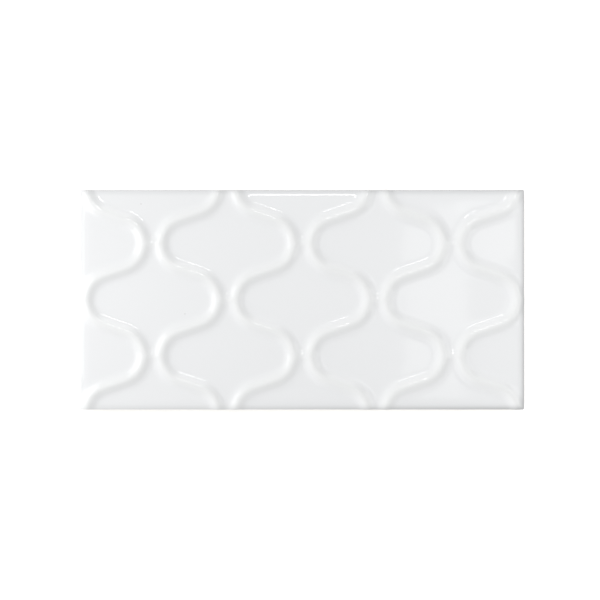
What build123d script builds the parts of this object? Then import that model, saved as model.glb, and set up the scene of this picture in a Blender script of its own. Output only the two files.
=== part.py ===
"""Decorative wall tile, pressed and fired in one piece.

The face carries a lattice of six wavy ridges.  Neighbouring waves are mirror images: they swing
apart round the ogee-shaped panels and come together at small necks.
Lengths are in millimetres.  The back lies on z = 0, the face looks along +Z and the tile's
length runs along X.  The origin is under the middle of the tile.
"""
from build123d import *
import math
import os

# The body
LENGTH = 150.8
WIDTH = 74.6
BODY_THICKNESS = 7.5  # from the back to the flat of the panels
BACK_BEVEL = 0.8  # broken edge round the back

# The rim: the face rolls off gently and ends in a small round edge
ROLL_WIDTH = 2.4
ROLL_DROP = 0.36
EDGE_RADIUS = 0.5

# The lattice repeats a whole number of times in a tile and one joint, so that it runs on
# from each tile to the next across the grout
GROUT_JOINT = 1.6
REPEATS_ALONG = 3
REPEATS_ACROSS = 2

# The ridges
RIDGE_WIDTH = 5.6  # foot to foot
RIDGE_HEIGHT = 1.1  # above the panels
RIDGE_CROWN = 1.4  # radius of the rounded top
CREST_GAP = 6.1  # from crest to crest where two waves come together
STRAIGHT_RUN = 8.0  # straight stretch of a wave between two bends
ROOT_DEPTH = 1.5  # how far the sloping sides run on into the body, deeper than the rim falls
CREST_CLEARANCE = 0.03  # the shape that trims the ridges passes over the crests and cuts at the rim

# The necks that join two waves where they come together
NECK_WIDTH = 3.4
NECK_HEIGHT = 0.6
NECK_CROWN = 1.2

# The waffle of shallow cells that keys the back into the adhesive
CELL_SIZE = 10.7
CELL_RIB = 2.0
CELL_DEPTH = 0.8
CELL_DRAFT = 30  # slope of the cell walls, in degrees, so that the press lets go
BACK_BORDER = 5.0  # least plain border round the cells

PITCH_ALONG = (LENGTH + GROUT_JOINT) / REPEATS_ALONG
PITCH_ACROSS = (WIDTH + GROUT_JOINT) / REPEATS_ACROSS
SWING = (PITCH_ALONG / 2 - CREST_GAP) / 2  # how far a wave leaves its own middle line


def bead_section(width, height, crown):
    """A round crown on two straight sides, which run on down into the body."""
    half = width / 2
    middle = height - crown
    lean = math.atan2(middle, half) + math.asin(crown / math.hypot(half, middle))
    top_x = crown * math.sin(lean)
    top_z = middle + crown * math.cos(lean)
    root_x = half + ROOT_DEPTH / math.tan(lean)
    round_top = ThreePointArc((-top_x, top_z), (0, height), (top_x, top_z))
    sides = Polyline((top_x, top_z), (root_x, -ROOT_DEPTH), (-root_x, -ROOT_DEPTH), (-top_x, top_z))
    return make_face(Curve() + [round_top, sides])


def wave_line():
    """The crest of one wave from above: round bends joined by straight runs tangent to them."""
    quarter = PITCH_ACROSS / 4
    half_run = STRAIGHT_RUN / 2
    radius = (SWING**2 + quarter**2 - half_run**2) / (2 * SWING)
    centre = SWING - radius
    turn = math.atan2(quarter, -centre) - math.atan2(half_run, radius)
    bend_x = centre + radius * math.cos(turn)
    bend_y = radius * math.sin(turn)
    edges = []
    for bend in range(-REPEATS_ACROSS, REPEATS_ACROSS + 1):
        side = 1 if bend % 2 == 0 else -1
        y = bend * PITCH_ACROSS / 2
        start = (side * bend_x, y - bend_y)
        end = (side * bend_x, y + bend_y)
        edges.append(ThreePointArc(start, (side * SWING, y), end))
        if bend < REPEATS_ACROSS:
            next_start = (-side * bend_x, y + PITCH_ACROSS / 2 - bend_y)
            edges.append(Line(end, next_start))
    return Wire(edges)


def wave_ridge():
    """The bead drawn along one wave, past both long edges of the tile."""
    path = Pos(0, 0, BODY_THICKNESS) * wave_line()
    ahead = path % 0
    across = Plane(path @ 0, x_dir=Vector(0, 0, 1).cross(ahead), z_dir=ahead)
    return sweep(across * bead_section(RIDGE_WIDTH, RIDGE_HEIGHT, RIDGE_CROWN), path=path)


def neck():
    """A low, narrow bead from one crest to the other."""
    start = (-CREST_GAP / 2, 0, BODY_THICKNESS)
    across = Plane(start, x_dir=(0, 1, 0), z_dir=(1, 0, 0))
    return extrude(across * bead_section(NECK_WIDTH, NECK_HEIGHT, NECK_CROWN), CREST_GAP)


def lattice():
    """All the waves side by side, each the mirror image of the next, and the necks between them."""
    wave = wave_ridge()
    mirrored = mirror(wave, about=Plane.YZ)
    link = neck()
    beads = []
    for column in range(-REPEATS_ALONG, REPEATS_ALONG):
        middle = Pos((column + 0.5) * PITCH_ALONG / 2, 0, 0)
        beads.append(middle * (wave if column % 2 == 0 else mirrored))
    for row in range(1 - REPEATS_ACROSS, REPEATS_ACROSS):
        for column in range(1 - REPEATS_ALONG, REPEATS_ALONG):
            if (row + column) % 2 == 1:
                beads.append(Pos(column * PITCH_ALONG / 2, row * PITCH_ACROSS / 2, 0) * link)
    return beads


def rolled_bar(span, height, length, plane):
    """A long bar whose section, seen square to the plane, has rolled rims and a bevelled back."""
    side = span / 2
    shoulder = height - ROLL_DROP
    box = Polyline((-side, shoulder), (-side, 0), (side, 0), (side, shoulder))
    right = TangentArc((side - ROLL_WIDTH, height), (side, shoulder), tangent=(1, 0))
    left = TangentArc((ROLL_WIDTH - side, height), (-side, shoulder), tangent=(-1, 0))
    face = Line((ROLL_WIDTH - side, height), (side - ROLL_WIDTH, height))
    section = make_face(Curve() + [box, right, left, face])
    section = fillet(section.vertices().group_by(Axis.Y)[1], EDGE_RADIUS)
    section = chamfer(section.vertices().group_by(Axis.Y)[0], BACK_BEVEL)
    return extrude(plane * section, length / 2, both=True)


def blank(height):
    """The tile's body without any pattern, as thick as asked."""
    return rolled_bar(LENGTH, height, WIDTH, Plane.XZ) & rolled_bar(WIDTH, height, LENGTH, Plane.YZ)


def back_cells():
    """As many square cells as the border leaves room for, in the middle of the back."""
    pitch = CELL_SIZE + CELL_RIB
    columns = int((LENGTH - 2 * BACK_BORDER + CELL_RIB) / pitch)
    rows = int((WIDTH - 2 * BACK_BORDER + CELL_RIB) / pitch)
    cell = extrude(Rectangle(CELL_SIZE, CELL_SIZE), CELL_DEPTH, taper=CELL_DRAFT)
    return [place * cell for place in GridLocations(pitch, pitch, columns, rows)]


def tile():
    """The blank with the lattice on it; the ridges roll off at the rim as the face does."""
    limit = blank(BODY_THICKNESS + RIDGE_HEIGHT + CREST_CLEARANCE)
    ridges = [bead & limit for bead in lattice()]
    return blank(BODY_THICKNESS).fuse(*ridges).cut(*back_cells())


os.makedirs("parts", exist_ok=True)
export_step(tile(), "parts/tile.step")
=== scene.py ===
"""White gloss wall tile with a raised ogee lattice, lying on a white table and seen from above.

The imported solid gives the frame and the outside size.  One closed surface takes its place in the
picture: the same waves, with the soft crests and feet that a flooded glaze leaves, flat panels,
a rolled rim, a glaze line round the sides and the waffled back.
Lengths below are in millimetres, and MM turns them into Blender's metres.
"""

import math

import bpy
import numpy as np
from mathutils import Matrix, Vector


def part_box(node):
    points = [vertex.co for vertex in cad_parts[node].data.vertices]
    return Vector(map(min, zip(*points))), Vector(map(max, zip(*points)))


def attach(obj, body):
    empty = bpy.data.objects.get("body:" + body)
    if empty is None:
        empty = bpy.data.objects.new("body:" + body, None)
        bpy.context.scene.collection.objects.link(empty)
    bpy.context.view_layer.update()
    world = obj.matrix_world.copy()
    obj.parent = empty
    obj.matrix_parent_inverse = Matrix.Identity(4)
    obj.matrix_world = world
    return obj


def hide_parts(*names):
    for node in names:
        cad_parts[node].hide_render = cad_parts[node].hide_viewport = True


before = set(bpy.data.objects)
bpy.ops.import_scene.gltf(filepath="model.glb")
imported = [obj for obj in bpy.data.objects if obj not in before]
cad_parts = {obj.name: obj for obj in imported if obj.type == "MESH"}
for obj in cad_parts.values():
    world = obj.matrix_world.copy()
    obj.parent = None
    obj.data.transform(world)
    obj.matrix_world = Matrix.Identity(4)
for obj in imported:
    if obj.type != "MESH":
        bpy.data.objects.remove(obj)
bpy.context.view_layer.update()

MM = 0.001
LOW, HIGH = (np.array(corner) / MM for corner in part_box("tile"))
LENGTH, WIDTH, TOP = HIGH[0] - LOW[0], HIGH[1] - LOW[1], HIGH[2]

# The lattice, as in the part's source
GROUT_JOINT = 1.6
REPEATS_ALONG, REPEATS_ACROSS = 3, 2
CREST_GAP = 6.1
STRAIGHT_RUN = 8.0
PITCH_ALONG = (LENGTH + GROUT_JOINT) / REPEATS_ALONG
PITCH_ACROSS = (WIDTH + GROUT_JOINT) / REPEATS_ACROSS
SWING = (PITCH_ALONG / 2 - CREST_GAP) / 2

# A ridge under glaze: a broad round crown whose foot runs out softly into the panels
BEAD_HEIGHT, BEAD_REACH, BEAD_POWER = 1.03, 1.9, 2.3
NECK_HEIGHT, NECK_REACH, NECK_SPAN = 0.42, 1.7, 3.4
CREST_CLEARANCE = 0.06  # keeps the highest crest under the solid's own

# The rim and the sides
ROLL_WIDTH, ROLL_DROP, ROLL_POWER = 4.0, 0.45, 3.0
EDGE_RADIUS = 0.4
CORNER_RADIUS = 0.5  # in plan
EDGE_FOOT = 0.6  # from the face's outer edge down to the first ring of the sides
GLAZE_LINE = 2.3  # height at which the glaze stops on the sides
GLAZE_WAVES = [(0.30, 7, 0.6), (0.20, 17, 2.1), (0.12, 43, 0.0)]  # height, waves round, start
GLAZE_SKIN = 0.12  # its thickness there
BACK_BEVEL = 0.8

# Rings of points down the sides.  At the glaze line each has an inset, a height over that line and
# a share of glaze; round the foot each has an inset and a height over the back
GLAZE_LIP = [
    (0.00, 0.35, 1),
    (0.00, 0.12, 1),
    (0.03, 0.00, 1),
    (GLAZE_SKIN, -0.10, 0),
    (GLAZE_SKIN, -0.35, 0),
]
FOOT_RINGS = [
    (GLAZE_SKIN, BACK_BEVEL + 0.15),
    (GLAZE_SKIN + 0.05, BACK_BEVEL - 0.05),
    (BACK_BEVEL - 0.08, 0.10),
    (BACK_BEVEL + 0.10, 0.0),
    (BACK_BEVEL + 0.30, 0.0),
]

# Painted shade along the sharp edge of the face, where the rim falls away into shade: its width,
# its strength half way along it, and how much darker towards the right-hand end and its lower corner
EDGE_SHADE_WIDTH = 2.6
EDGE_SHADE_MIDDLE, SHADE_TO_RIGHT, SHADE_TO_CORNER = 0.60, 0.65, 0.50

# The back
CELL_SIZE, CELL_RIB, CELL_DEPTH = 10.7, 2.0, 0.8
CELL_PITCH = CELL_SIZE + CELL_RIB
CELL_COLUMNS, CELL_ROWS = 11, 5
CELL_WALL = 0.75  # width of a cell's sloping wall with its rounded edges
BACK_MARGIN = 1.7

# The glaze and the clay
GLAZE_ROUGHNESS, CLAY_ROUGHNESS = 0.05, 0.8
GLAZE_IOR = 1.52
GLAZE_RIPPLE, RIPPLE_HEIGHT = 9.0, 0.03
CLAY_GRAIN = 0.9
SPECKS = [(-54.7, 32.5), (-39.8, -4.8)]  # places seen from above
SPECK_RADIUS, SPECK_STRENGTH = 0.3, 0.4

# The room's even glow, and its lighter and darker patches: degrees to the right, degrees up the
# picture, sharpness, strength
ROOM_GLOW = 0.92
ROOM_PATCHES = [
    (-62, -4, 2.4, 0.78),  # the brighter left side
    (7, 50, 25, 1.95),  # a bright patch beyond the tile
    (2, -9, 140, -0.97),  # small and dark, nearly overhead
    (4, -34, 25, -0.73),  # dark on the near side
    (24, 2, 50, -0.35),  # darker on the right
    (89, 0, 3, -0.40),  # dim, low on the right
    (0, 89, 3, -0.62),  # dim, low beyond the tile
    (0, -89, 3, -0.10),  # dim, low on the near side
]

# Soft boxes: name, place, width, depth and brightness, 1 being the white of the picture
SOFT_BOXES = [
    ("left_box", (-140, 12, 80), 85, 85, 1.45),
    ("right_box", (170, 0, 130), 120, 120, 1.10),
    ("over_strip", (98, 0, 700), 140, 46, 1.00),
    ("over_corner", (150, 60, 700), 60, 60, 1.00),
    ("far_strip", (0, 245, 700), 130, 46, 11.5),
]

# The table glows a little, so that it comes out white
TABLE_SIZE = 4000
TABLE_GLOW = 0.17

# The camera, straight above and a little off the middle, as the picture is framed
CAMERA_X, CAMERA_Y = -0.763, -0.085
CAMERA_HEIGHT = 600.0  # over the level that is true to scale, which lies near the panels
SCALE_LEVEL = TOP - 1.2
PIXEL, PICTURE_WIDTH = 0.3393, 600  # millimetres to a pixel, and pixels
SENSOR = 36.0

# How finely the surface is drawn
FACE_COLUMNS, FACE_ROWS = 352, 174
ARC_STEPS = 6
WALL_STEPS = 5


def ease(t):
    """Smooth step from 0 to 1: three t squared less two t cubed, held at both ends."""
    t = np.clip(t, 0, 1)
    return t * t * (3 - 2 * t)


def wave_distance(x, y, column):
    """Distance from each point to the crest line of one wave.

    The wave is folded into half of its period, where it is a bend, a straight run and another
    bend; the nearest of the three counts.
    """
    quarter, half_run = PITCH_ACROSS / 4, STRAIGHT_RUN / 2
    radius = (SWING**2 + quarter**2 - half_run**2) / (2 * SWING)
    centre = SWING - radius
    turn = math.atan2(quarter, -centre) - math.atan2(half_run, radius)
    bend_x, bend_y = centre + radius * math.cos(turn), radius * math.sin(turn)
    side = 1 if column % 2 == 0 else -1
    u = side * (x - (column + 0.5) * PITCH_ALONG / 2)
    v = np.abs(y - PITCH_ACROSS * np.round(y / PITCH_ACROSS))

    def bend(along, across):
        inside = np.abs(np.arctan2(across, along - centre)) <= turn
        return np.where(inside, np.abs(np.hypot(along - centre, across) - radius), np.inf)

    run_x, run_y = -2 * bend_x, 2 * quarter - 2 * bend_y
    share = ((u - bend_x) * run_x + (v - bend_y) * run_y) / (run_x**2 + run_y**2)
    share = np.clip(share, 0, 1)
    run = np.hypot(u - bend_x - share * run_x, v - bend_y - share * run_y)
    return np.minimum(run, np.minimum(bend(u, v), bend(-u, 2 * quarter - v)))


def relief(x, y):
    """Height of the pattern over the middle of a panel.

    Each wave adds a bell of the distance d to its crest, exp(-(d / reach)^power), and each neck a
    bell across, exp(-(d / reach)^2), with a smooth step at either end.
    """
    height = np.zeros_like(x)
    for column in range(-REPEATS_ALONG, REPEATS_ALONG):
        d = wave_distance(x, y, column)
        height += BEAD_HEIGHT * np.exp(-((d / BEAD_REACH) ** BEAD_POWER))
    half_along, half_across = PITCH_ALONG / 2, PITCH_ACROSS / 2
    row = np.round(y / half_across)
    column = 2 * np.round((x / half_along - 1 + row) / 2) + 1 - row
    dx, dy = x - column * half_along, y - row * half_across
    height += NECK_HEIGHT * np.exp(-((dy / NECK_REACH) ** 2)) * (1 - ease(np.abs(dx) / NECK_SPAN))
    return height


def rim_drop(inset):
    """Fall of the face near an edge: a power of the way across the roll, then a quarter circle."""
    roll = ROLL_DROP * np.clip(1 - inset / ROLL_WIDTH, 0, 1) ** ROLL_POWER
    over = np.clip(EDGE_RADIUS - inset, 0, EDGE_RADIUS)
    return roll + EDGE_RADIUS - np.sqrt(EDGE_RADIUS**2 - over**2)


def face_lines(span, count):
    """Grid lines across the face: even in the middle, at even angles round the edge."""
    angles = np.linspace(0, math.pi / 2, ARC_STEPS + 1)[:-1]
    edge = span / 2 - EDGE_RADIUS * (1 - np.cos(angles))
    middle = np.linspace(EDGE_RADIUS - span / 2, span / 2 - EDGE_RADIUS, count)
    return np.concatenate([-edge, middle, edge[::-1]])


def cell_lines(count, span):
    """Grid lines across the back: close together over each cell's two walls."""
    middles = (np.arange(count) - (count - 1) / 2) * CELL_PITCH
    wall = CELL_SIZE / 2 - np.linspace(0, CELL_WALL, WALL_STEPS + 1)
    offsets = np.concatenate([-wall, wall[::-1]])
    lines = (middles[:, None] + offsets[None, :]).ravel()
    edge = span / 2 - BACK_MARGIN
    return np.concatenate([[-edge], lines, [edge]])


def cell_share(line, count):
    """How far into a cell each line is: 0 on the ribs, 1 on the floor, a smooth step between."""
    shift = (count - 1) / 2
    nearest = np.clip(np.round(line / CELL_PITCH + shift), 0, count - 1) - shift
    return ease((CELL_SIZE / 2 - np.abs(line - nearest * CELL_PITCH)) / CELL_WALL)


def grid_quads(columns, rows, first):
    """Corners of every square of a grid numbered column by column."""
    index = first + np.arange(columns * rows).reshape(columns, rows)
    corners = [index[:-1, :-1], index[1:, :-1], index[1:, 1:], index[:-1, 1:]]
    return np.stack(corners, -1).reshape(-1, 4)


def grid_outline(columns, rows, first):
    """The grid's outer points in order, anticlockwise seen from +Z."""
    index = first + np.arange(columns * rows).reshape(columns, rows)
    return np.concatenate([index[:-1, 0], index[-1, :-1], index[:0:-1, -1], index[0, :0:-1]])


def ring_quads(upper, lower):
    """Squares between two rings of as many points."""
    return np.stack([upper, lower, np.roll(lower, -1), np.roll(upper, -1)], -1)


def ring_travel(points):
    """How far round a ring each point's next neighbour is, as a share of the way.

    The ring is first stretched to a square, so that rings of unlike sides keep step.
    """
    flat = points[:, :2] / np.abs(points[:, :2]).max(0)
    travel = np.cumsum(np.hypot(*(np.roll(flat, -1, 0) - flat).T))
    return travel / travel[-1]


def zip_rings(outer, inner, points):
    """Triangles between two rings of unlike counts: a step on one takes the nearest on the other."""
    out_way, in_way = ring_travel(points[outer]), ring_travel(points[inner])
    at_inner = np.searchsorted(in_way[:-1], out_way, side="left") % len(inner)
    at_outer = np.searchsorted(out_way[:-1], in_way, side="right")
    at_outer = np.where(np.arange(len(inner)) == len(inner) - 1, 0, at_outer) % len(outer)
    steps_out = np.stack([outer, inner[at_inner], np.roll(outer, -1)], -1)
    steps_in = np.stack([inner, np.roll(inner, -1), outer[at_outer]], -1)
    return np.concatenate([steps_out, steps_in])


def round_corners(x, y):
    """Draws the square at each plan corner in to a quarter disc."""
    over_x = np.abs(x) - LENGTH / 2 + CORNER_RADIUS
    over_y = np.abs(y) - WIDTH / 2 + CORNER_RADIUS
    both = (over_x > 0) & (over_y > 0)
    far = np.hypot(over_x, over_y)
    pull = np.where(both, 1 - np.maximum(over_x, over_y) / np.where(both, far, 1), 0)
    return x - np.sign(x) * pull * over_x, y - np.sign(y) * pull * over_y


def tile_surface():
    """The whole tile as one closed surface: face grid, side rings and back grid.

    Returns its points, squares and triangles, and for each point its share of glaze, of relief and
    of painted shade along the sharp edge: a square of the way out to the edge, and more so towards
    the right-hand end and its lower right corner.
    """
    lines_along, lines_across = face_lines(LENGTH, FACE_COLUMNS), face_lines(WIDTH, FACE_ROWS)
    x, y = np.meshgrid(lines_along, lines_across, indexing="ij")
    pattern = relief(x, y)
    panel = TOP - CREST_CLEARANCE - BEAD_HEIGHT
    z = panel + pattern - rim_drop(LENGTH / 2 - np.abs(x)) - rim_drop(WIDTH / 2 - np.abs(y))
    inset = np.minimum(LENGTH / 2 - np.abs(x), WIDTH / 2 - np.abs(y))
    # Painted shade on the sharp edge, darker towards the right-hand end and the lower right corner
    right, up = x / LENGTH, y / WIDTH
    edge_shade_strength = EDGE_SHADE_MIDDLE + SHADE_TO_RIGHT * right - SHADE_TO_CORNER * right * up
    edge_shade = np.clip(1 - inset / EDGE_SHADE_WIDTH, 0, 1) ** 2 * edge_shade_strength
    columns, rows = x.shape
    x, y = round_corners(x, y)
    points = [np.stack([x, y, z], -1).reshape(-1, 3)]
    squares = [grid_quads(columns, rows, 0)]
    outline = grid_outline(columns, rows, 0)
    edge = points[0][outline]
    count = len(outline)

    way = 2 * math.pi * np.arange(count) / count
    line = np.full(count, GLAZE_LINE)
    for wave_height, waves, start in GLAZE_WAVES:
        line += wave_height * np.sin(waves * way + start)
    rings = [(0.0, edge[:, 2] - EDGE_FOOT, 1)]
    rings += [(step_in, line + over, covered) for step_in, over, covered in GLAZE_LIP]
    rings += [(step_in, np.full(count, over), 0) for step_in, over in FOOT_RINGS]
    glaze = [np.ones(columns * rows)]
    upper, first = outline, columns * rows
    for step_in, height, covered in rings:
        shrink = 1 - step_in / np.array([LENGTH / 2, WIDTH / 2])
        points.append(np.column_stack([edge[:, :2] * shrink, height]))
        lower = first + np.arange(count)
        squares.append(ring_quads(upper, lower))
        glaze.append(np.full(count, float(covered)))
        upper, first = lower, first + count

    along, across = cell_lines(CELL_COLUMNS, LENGTH), cell_lines(CELL_ROWS, WIDTH)
    depth = CELL_DEPTH * np.outer(cell_share(along, CELL_COLUMNS), cell_share(across, CELL_ROWS))
    back_x, back_y = np.meshgrid(along, across, indexing="ij")
    points.append(np.stack([back_x, back_y, depth], -1).reshape(-1, 3))
    squares.append(grid_quads(len(along), len(across), first)[:, ::-1])
    glaze.append(np.zeros(depth.size))
    points = np.concatenate(points)
    triangles = zip_rings(upper, grid_outline(len(along), len(across), first), points)
    glaze = np.concatenate(glaze)
    raised = np.zeros(len(points))
    raised[: columns * rows] = (pattern / BEAD_HEIGHT).ravel()
    # Each face point's share of the painted edge shade
    painted_edge_shade = np.zeros(len(points))
    painted_edge_shade[: columns * rows] = edge_shade.ravel()
    return points * MM, np.concatenate(squares), triangles, glaze, raised, painted_edge_shade


def mesh_piece(name, points, faces, attributes):
    """A smooth-shaded mesh object at the origin, with one number per point for each attribute."""
    mesh = bpy.data.meshes.new(name)
    mesh.from_pydata(points.tolist(), [], faces)
    mesh.polygons.foreach_set("use_smooth", np.ones(len(mesh.polygons), bool))
    for title, values in attributes.items():
        attribute = mesh.attributes.new(title, "FLOAT", "POINT")
        attribute.data.foreach_set("value", values.astype(np.float32))
    mesh.update()
    piece = bpy.data.objects.new(name, mesh)
    bpy.context.scene.collection.objects.link(piece)
    return piece


def linear(hex_colour):
    """An sRGB hex colour as linear red, green, blue and a full alpha."""
    parts = [int(hex_colour[i : i + 2], 16) / 255 for i in (1, 3, 5)]
    return [p / 12.92 if p <= 0.04045 else ((p + 0.055) / 1.055) ** 2.4 for p in parts] + [1.0]


def add(tree, kind, inputs=None, **settings):
    """Adds a node; settings are its own properties, and an input is a value or a socket to link."""
    node = tree.nodes.new(kind)
    for key, value in settings.items():
        setattr(node, key, value)
    for key, value in (inputs or {}).items():
        if isinstance(value, bpy.types.NodeSocket):
            tree.links.new(value, node.inputs[key])
        else:
            node.inputs[key].default_value = value
    return node


def two_tone(tree, amount, low, high):
    """A colour ramp between two stops, each a position and an sRGB hex colour."""
    ramp = add(tree, "ShaderNodeValToRGB", {"Fac": amount})
    for stop, (position, colour) in zip(ramp.color_ramp.elements, (low, high)):
        stop.position, stop.color = position, linear(colour)
    return ramp.outputs["Color"]


def glazed_clay():
    """Opaque white gloss glaze, flooded on and fired, over a pressed white body that is bare below.

    The eye gets a hard wet shine with slow ripples, a trace of the body's warmth where the glaze
    thins over the crests, a painted grey shade along the sharp edge, two faint iron specks, and a
    chalky grain on the bare clay.
    """
    material = bpy.data.materials.new("white_gloss_glaze_on_pressed_clay")
    material.use_nodes = True
    tree = material.node_tree
    tree.nodes.clear()
    place = add(tree, "ShaderNodeTexCoord").outputs["Object"]
    covered = add(tree, "ShaderNodeAttribute", attribute_name="glaze").outputs["Fac"]
    raised = add(tree, "ShaderNodeAttribute", attribute_name="raised").outputs["Fac"]

    # Where the glaze lies thin on the crests it lets a little of the body's warmth through
    glaze_tone = two_tone(tree, raised, (0.05, "#DADBDC"), (0.95, "#DADBDB"))
    # Painted shade: a grey line mixed in along the sharp edge of the face
    painted_edge_shade = add(tree, "ShaderNodeAttribute", attribute_name="painted_edge_shade").outputs["Fac"]
    edge_shade_grey = linear("#A8A9AA")
    glaze_tone = add(
        tree, "ShaderNodeMix", {"Factor": painted_edge_shade, 6: glaze_tone, 7: edge_shade_grey}, data_type="RGBA"
    ).outputs[2]

    # Two iron specks under the glaze, each a small soft dot
    flat = add(
        tree, "ShaderNodeVectorMath", {0: place, 1: (1, 1, 0)}, operation="MULTIPLY"
    ).outputs["Vector"]
    iron = linear("#6E6660")
    glaze_colour = glaze_tone
    for speck_x, speck_y in SPECKS:
        middle = (speck_x * MM, speck_y * MM, 0)
        away = add(
            tree, "ShaderNodeVectorMath", {0: flat, 1: middle}, operation="DISTANCE"
        ).outputs["Value"]
        speck = add(
            tree, "ShaderNodeMapRange",
            {
                "Value": away, "From Min": 0.0, "From Max": SPECK_RADIUS * MM,
                "To Min": SPECK_STRENGTH, "To Max": 0.0,
            },
        ).outputs["Result"]
        glaze_colour = add(
            tree, "ShaderNodeMix", {"Factor": speck, 6: glaze_colour, 7: iron}, data_type="RGBA"
        ).outputs[2]

    # Bare clay: fine pale and darker grains
    grain = add(
        tree, "ShaderNodeTexNoise",
        {"Vector": place, "Scale": 1 / (CLAY_GRAIN * MM), "Detail": 5.0, "Roughness": 0.6},
    ).outputs["Fac"]
    clay_colour = two_tone(tree, grain, (0.3, "#D8D0C2"), (0.7, "#E6E0D5"))
    colour = add(
        tree, "ShaderNodeMix",
        {"Factor": covered, 6: clay_colour, 7: glaze_colour}, data_type="RGBA",
    ).outputs[2]

    # The glaze ripples slowly; the clay is rough to the touch
    ripple = add(
        tree, "ShaderNodeTexNoise",
        {"Vector": place, "Scale": 1 / (GLAZE_RIPPLE * MM), "Detail": 1.0, "Roughness": 0.4},
    ).outputs["Fac"]
    height = add(
        tree, "ShaderNodeMix", {"Factor": covered, 2: grain, 3: ripple}, data_type="FLOAT"
    ).outputs[0]
    normal = add(
        tree, "ShaderNodeBump", {"Height": height, "Strength": 1.0, "Distance": RIPPLE_HEIGHT * MM}
    ).outputs["Normal"]
    roughness = add(
        tree, "ShaderNodeMapRange",
        {"Value": covered, "To Min": CLAY_ROUGHNESS, "To Max": GLAZE_ROUGHNESS},
    ).outputs["Result"]
    shader = add(
        tree, "ShaderNodeBsdfPrincipled",
        {"Base Color": colour, "Roughness": roughness, "Normal": normal, "IOR": GLAZE_IOR},
    )
    add(tree, "ShaderNodeOutputMaterial", {"Surface": shader.outputs["BSDF"]})
    return material


def white_table():
    """A wide matt white floor, flat on z = 0."""
    half = TABLE_SIZE / 2 * MM
    corners = [(-half, -half, 0), (half, -half, 0), (half, half, 0), (-half, half, 0)]
    mesh = bpy.data.meshes.new("table")
    mesh.from_pydata(corners, [], [(0, 1, 2, 3)])
    table = bpy.data.objects.new("table", mesh)
    bpy.context.scene.collection.objects.link(table)
    material = bpy.data.materials.new("matt_white_card")
    material.use_nodes = True
    shader = material.node_tree.nodes["Principled BSDF"]
    shader.inputs["Base Color"].default_value = linear("#FCFCFC")
    shader.inputs["Emission Color"].default_value = linear("#FFFFFF")
    shader.inputs["Emission Strength"].default_value = TABLE_GLOW
    shader.inputs["Roughness"].default_value = 0.9
    shader.inputs["Specular IOR Level"].default_value = 0.2
    mesh.materials.append(material)


def soft_box(name, place, width, depth, glow):
    """A soft box facing the tile, hidden from the camera; glow is the brightness of its face."""
    lamp = bpy.data.lights.new(name, "AREA")
    lamp.shape = "RECTANGLE"
    lamp.size, lamp.size_y = width * MM, depth * MM
    lamp.energy = math.pi * lamp.size * lamp.size_y * glow
    light = bpy.data.objects.new(name, lamp)
    light.location = Vector(place) * MM
    light.rotation_mode = "QUATERNION"
    light.rotation_quaternion = (-Vector(place)).to_track_quat("-Z", "Y")
    light.visible_camera = False
    bpy.context.scene.collection.objects.link(light)


def room():
    """A pale room: an even glow with wide lighter and darker patches that the glaze mirrors."""
    world = bpy.data.worlds.new("room")
    world.use_nodes = True
    tree = world.node_tree
    tree.nodes.clear()
    way = add(tree, "ShaderNodeTexCoord").outputs["Generated"]
    total = ROOM_GLOW
    for right, up, sharpness, strength in ROOM_PATCHES:
        middle = Vector((math.tan(math.radians(right)), math.tan(math.radians(up)), 1)).normalized()
        facing = add(
            tree, "ShaderNodeVectorMath", {0: way, 1: middle}, operation="DOT_PRODUCT"
        ).outputs["Value"]
        ahead = add(tree, "ShaderNodeMath", {0: facing, 1: 0.0}, operation="MAXIMUM").outputs[0]
        patch = add(tree, "ShaderNodeMath", {0: ahead, 1: sharpness}, operation="POWER").outputs[0]
        total = add(
            tree, "ShaderNodeMath", {0: patch, 1: strength, 2: total}, operation="MULTIPLY_ADD"
        ).outputs[0]
    total = add(tree, "ShaderNodeMath", {0: total, 1: 0.0}, operation="MAXIMUM").outputs[0]
    background = add(tree, "ShaderNodeBackground", {"Color": linear("#FFFFFF"), "Strength": total})
    add(tree, "ShaderNodeOutputWorld", {"Surface": background.outputs["Background"]})
    bpy.context.scene.world = world


def overhead_camera():
    """Looks straight down with +Y up the picture."""
    lens = bpy.data.cameras.new("camera")
    lens.sensor_width = SENSOR
    lens.lens = SENSOR * CAMERA_HEIGHT / (PICTURE_WIDTH * PIXEL)
    camera = bpy.data.objects.new("camera", lens)
    camera.location = Vector((CAMERA_X, CAMERA_Y, SCALE_LEVEL + CAMERA_HEIGHT)) * MM
    bpy.context.scene.collection.objects.link(camera)
    bpy.context.scene.camera = camera


bpy.context.scene.view_settings.view_transform = "Standard"
overhead_camera()
white_table()
room()
for box in SOFT_BOXES:
    soft_box(*box)

points, squares, triangles, glaze, raised, painted_edge_shade = tile_surface()
glazed_tile = mesh_piece(
    "glazed_tile", points, squares.tolist() + triangles.tolist(),
    {"glaze": glaze, "raised": raised, "painted_edge_shade": painted_edge_shade},
)
glazed_tile.data.materials.append(glazed_clay())
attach(glazed_tile, "root")
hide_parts("tile")
